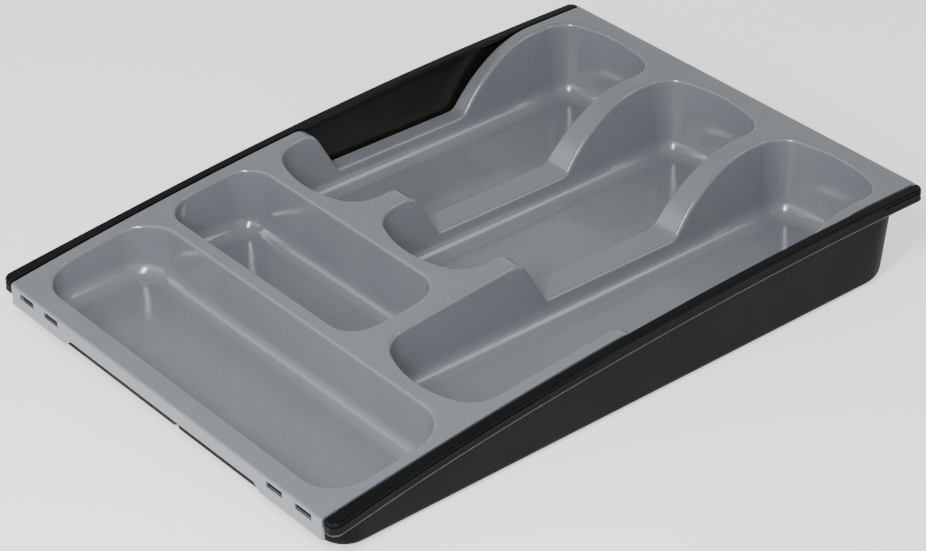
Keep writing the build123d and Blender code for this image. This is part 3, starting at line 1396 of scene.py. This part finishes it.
class Finish(Enum):
    """The plastics of the product.

    The grey is a polypropylene with a smooth moulded skin, which shows soft
    highlights. The black is a polystyrene with four skins. Outside it comes from a
    spark-eroded mould, whose grit breaks the light up into a fine speckle. The
    bead along the foot of the skirt is painted paler: a painted highlight that
    shows as a thin light line.
    Inside, the mould was polished, so that the walls shine, and the rails are
    satin, between the two. The grains are really about 0.1 mm and are drawn
    coarser, so that the render shows them.
    """

    GREY = MouldedPlastic(
        "satin_grey_plastic",
        dark="#6f7379",
        light="#74787e",
        grain_dark="#6a6e74",
        grain_light="#7a7e84",
        grain=0.9,
        bump=0.012,
        roughness=0.17,
        grain_share=0.35,
        gloss_drift=0.03,
        ior=1.49,
        shine=0.9,
    )
    BLACK = MouldedPlastic(
        "spark_textured_black_plastic",
        dark="#0e0f0f",
        light="#111212",
        grain_dark="#0a0a0a",
        grain_light="#1b1c1c",
        grain=0.6,
        bump=0.03,
        roughness=0.6,
        grain_share=0.6,
        shine=0.08,
    )
    # A paler black for the bead along the skirt's foot: a painted highlight, a thin light line.
    HIGHLIGHT_BLACK = MouldedPlastic(
        "painted_highlight_black_plastic",
        dark="#252423",
        light="#3a3835",
        grain_dark="#121211",
        grain_light="#4a4844",
        grain=1.2,
        bump=0.01,
        roughness=0.4,
        grain_share=0.6,
        gloss_drift=0.05,
    )
    POLISHED_BLACK = MouldedPlastic(
        "polished_black_plastic",
        dark="#161613",
        light="#1b1b18",
        grain_dark="#11110f",
        grain_light="#22221e",
        grain=1.5,
        bump=0.004,
        roughness=0.2,
    )
    SATIN_BLACK = MouldedPlastic(
        "satin_black_plastic",
        dark="#0d0e0e",
        light="#101111",
        grain_dark="#0b0b0b",
        grain_light="#151616",
        grain=1.5,
        bump=0.006,
        roughness=0.34,
        shine=0.09,
    )


def dress(
    piece: bpy.types.Object, finishes: list[bpy.types.Material], node: str, body: str
) -> None:
    """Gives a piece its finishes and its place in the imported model.

    Args:
        piece: The object.
        finishes: Its materials, in the order of its faces' coats.
        node: The solid that the piece stands for.
        body: The body that it moves with.
    """
    for finish in finishes:
        piece.data.materials.append(finish)
    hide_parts(node)
    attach(piece, body)


# The studio


@dataclass(frozen=True)
class Studio:
    """A pale floor, soft lights and the photograph's camera."""

    azimuth: float = 51.217
    elevation: float = 32.697
    roll: float = -1.342
    aim: Triple = (0.0, 0.0, 30.0)
    offset: Pair = (1.692, -17.212)
    distance: float = 1607.8
    lens: float = 117.57
    sensor: float = 36.0
    floor_size: float = 9000.0
    floor_drop: float = 0.05
    floor_colour: str = "#f4f4f4"
    horizon: float = 1.05
    zenith: float = 0.2
    floor_glow: float = 0.95
    lamps: tuple[tuple[str, Triple, Pair, float], ...] = (
        ("key_light", (400.0, -640.0, 740.0), (110.0, 560.0), 10.8),
        ("front_light", (70.0, -910.0, 455.0), (1200.0, 400.0), 2.2),
        ("left_light", (-850.0, -700.0, 690.0), (450.0, 300.0), 0.7),
        ("rear_light", (700.0, 690.0, 850.0), (350.0, 350.0), 1.3),
    )

    def camera(self) -> None:
        """Places the camera: right, down and forward follow from its three angles.

        Right is (cos azimuth, sin azimuth, 0), forward looks down by the elevation,
        and both are turned about the view by the roll. The camera stands so that
        the aim is seen at its offset and distance.
        """
        turn, rise, roll = (math.radians(a) for a in (self.azimuth, self.elevation, self.roll))
        right = np.array([math.cos(turn), math.sin(turn), 0.0])
        level = math.cos(rise)
        ahead = np.array([-math.sin(turn) * level, math.cos(turn) * level, -math.sin(rise)])
        down = np.cross(ahead, right)
        cosine, sine = math.cos(roll), math.sin(roll)
        axes = np.array([cosine * right - sine * down, sine * right + cosine * down, ahead])
        seen = np.array([*self.offset, self.distance])
        place = (np.array(self.aim) - axes.T @ seen) * METRES
        data = bpy.data.cameras.new("camera")
        data.lens = self.lens
        data.sensor_width = self.sensor
        data.clip_end = 2 * self.floor_size * METRES
        camera = add_object("camera", data)
        pose = Matrix((axes[0], -axes[1], -axes[2])).transposed().to_4x4()
        pose.translation = Vector(place)
        camera.matrix_world = pose
        bpy.context.scene.camera = camera

    def floor(self) -> None:
        """A plain pale floor under the tray, which is clear when it is seen from below."""
        half, low = self.floor_size / 2 * METRES, -self.floor_drop * METRES
        mesh = bpy.data.meshes.new("floor")
        spots = [(-half, -half, low), (half, -half, low), (half, half, low), (-half, half, low)]
        mesh.from_pydata(spots, [], [(0, 1, 2, 3)])
        material = new_material("pale_floor")
        tree, colour = material.node_tree, linear(self.floor_colour)
        values = {"Base Color": colour, "Roughness": 0.9, "Specular IOR Level": 0.1}
        values |= {"Emission Color": colour, "Emission Strength": self.floor_glow}
        pale = add_node(tree, "ShaderNodeBsdfPrincipled", values, {})
        clear = add_node(tree, "ShaderNodeBsdfTransparent", {}, {})
        side = add_node(tree, "ShaderNodeNewGeometry", {}, {})
        # A shader mix takes its share, its front and its back as inputs 0, 1 and 2.
        links = {0: side.outputs["Backfacing"], 1: pale.outputs["BSDF"], 2: clear.outputs["BSDF"]}
        both = add_node(tree, "ShaderNodeMixShader", {}, links)
        add_node(tree, "ShaderNodeOutputMaterial", {}, {"Surface": both.outputs["Shader"]})
        mesh.materials.append(material)
        floor = add_object("floor", mesh)

    def sky(self) -> None:
        """White light all round, which fades from the horizon to the top."""
        world = bpy.data.worlds.new("sky")
        world.use_nodes = True
        tree = world.node_tree
        back = tree.nodes["Background"]
        back.inputs["Color"].default_value = linear("#ffffff")
        place = add_node(tree, "ShaderNodeTexCoord", {}, {})
        split = add_node(tree, "ShaderNodeSeparateXYZ", {}, {"Vector": place.outputs["Generated"]})
        values = {"From Min": 0.0, "From Max": 1.0, "To Min": self.horizon, "To Max": self.zenith}
        fade = add_node(tree, "ShaderNodeMapRange", values, {"Value": split.outputs["Z"]})
        tree.links.new(fade.outputs["Result"], back.inputs["Strength"])
        bpy.context.scene.world = world

    def lamp(self, name: str, place: Triple, size: Pair, power: float) -> None:
        """Adds a soft rectangular light that looks at the tray.

        Args:
            name: The light's name.
            place: Where it hangs, in millimetres.
            size: Its width and height in millimetres.
            power: Its power in watts.
        """
        data = bpy.data.lights.new(name, "AREA")
        data.shape = "RECTANGLE"
        data.size, data.size_y = size[0] * METRES, size[1] * METRES
        data.energy = power
        light = add_object(name, data)
        light.location = Vector(place) * METRES
        light.rotation_mode = "QUATERNION"
        light.rotation_quaternion = (-light.location).to_track_quat("-Z", "Y")

    def build(self) -> None:
        """Sets up floor, lights and camera."""
        self.floor()
        self.sky()
        for lamp in self.lamps:
            self.lamp(*lamp)
        self.camera()


def main() -> None:
    """Builds the tray and the studio."""
    logging.basicConfig(level=logging.INFO, format="%(message)s")
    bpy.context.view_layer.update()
    grey = [Finish.GREY.value.material()]
    kinds = (Finish.BLACK, Finish.POLISHED_BLACK, Finish.SATIN_BLACK, Finish.HIGHLIGHT_BLACK)
    blacks = [kind.value.material() for kind in kinds]
    dress(CentreTray().build(), grey, "centre_tray", "centre")
    for name, inner_end, flip in (("right_wing", 4.9, False), ("left_wing", -1.1, True)):
        piece = Wing(inner_end).build(f"{name}_moulding", flip)
        dress(piece, blacks, name, name)
    Studio().build()


if __name__ == "__main__":
    main()
